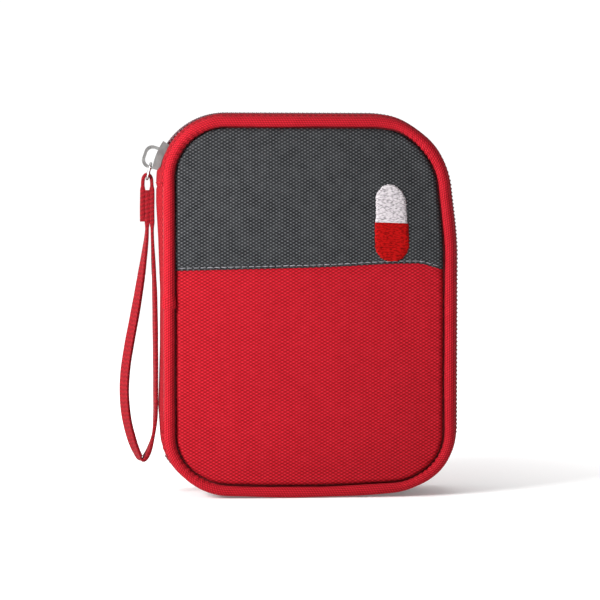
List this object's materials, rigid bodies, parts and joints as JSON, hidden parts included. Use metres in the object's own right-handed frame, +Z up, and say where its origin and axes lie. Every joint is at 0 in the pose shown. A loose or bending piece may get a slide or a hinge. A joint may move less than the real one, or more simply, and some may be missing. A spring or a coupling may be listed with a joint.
{
  "type": "first aid kit",
  "caption": "Zip-around padded canvas first aid kit that opens like a book, with a fabric spine, coil zipper, wire pull with wrist strap, mesh pocket and elastic loops.",
  "frame": {"origin": "middle of the kit's thickness and width, on the plane that its bottom edge rests on", "axes": "+Z up along the closed kit's height, the front cover faces -Y, the spine is at -X"},
  "size_m": [0.1258, 0.034, 0.1413],
  "materials": {
    "red_canvas": "woven, matt",
    "grey_canvas": "woven, matt",
    "piping": "bias-cut canvas, matt",
    "lining": "smooth woven nylon",
    "foam": "closed-cell foam",
    "zipper_tape": "woven tape",
    "coil": "moulded nylon coil",
    "thread_white": "satin thread",
    "thread_red": "satin thread",
    "nickel": "nickel plated, softly worn",
    "strap": "woven tape",
    "mesh": "open knitted mesh",
    "elastic": "woven elastic",
    "packet": "coated paper",
    "bandage": "crepe weave",
    "steel": "satin"
  },
  "bodies": {
    "back_shell": {"back_panel": "red_canvas", "back_board": "foam", "back_lining": "lining", "back_piping": "piping", "back_wall": "red_canvas", "back_tape": "zipper_tape", "back_coil": "coil", "mesh_pocket": "mesh", "pocket_binding": "elastic", "gauze_pack_left": "packet", "gauze_pack_right": "packet", "bandage": "bandage", "bandage_elastic": "elastic"},
    "spine": {"spine_gusset": "red_canvas", "spine_lining": "lining", "end_tab_upper": "red_canvas", "end_tab_lower": "red_canvas", "end_tape_upper": "zipper_tape", "end_tape_lower": "zipper_tape", "end_coil_upper": "coil", "end_coil_lower": "coil"},
    "front_shell": {"front_panel_upper": "grey_canvas", "front_panel_lower": "red_canvas", "front_board": "foam", "front_lining": "lining", "front_piping": "piping", "front_wall": "red_canvas", "front_tape": "zipper_tape", "front_coil": "coil", "capsule_upper": "thread_white", "capsule_lower": "thread_red", "front_elastic": "elastic", "tweezers": "steel", "plaster_pack": "packet", "wipe_pack": "packet"},
    "slider": {"slider_body": "nickel", "slider_bridge": "nickel"},
    "pull": {"pull_ring": "nickel"},
    "strap": {"wrist_strap": "strap"}
  },
  "joints": [
    {"name": "spine_fold", "type": "hinge", "parent": "back_shell", "child": "spine", "pos_m": [-0.0552, 0.0132, 0.068], "axis": [0, 0, -1], "range_deg": [0, 90]},
    {"name": "cover_fold", "type": "hinge", "parent": "spine", "child": "front_shell", "pos_m": [-0.0552, -0.0132, 0.068], "axis": [0, 0, -1], "range_deg": [0, 90]},
    {"name": "slider_travel", "type": "hinge", "parent": "spine", "child": "slider", "pos_m": [-0.0305, 0, 0.1155], "axis": [0, -1, 0], "range_deg": [-54, 0]},
    {"name": "pull_swing", "type": "hinge", "parent": "slider", "child": "pull", "pos_m": [-0.05775, 0, 0.12235], "axis": [0, 1, 0], "range_deg": [0, 85]},
    {"name": "strap_swing", "type": "hinge", "parent": "pull", "child": "strap", "pos_m": [-0.05916, 0, 0.11672], "axis": [0, 1, 0], "range_deg": [0, 60]}
  ],
  "couplings": [
    {"joint": "cover_fold", "follows": "spine_fold", "ratio": 1}
  ]
}
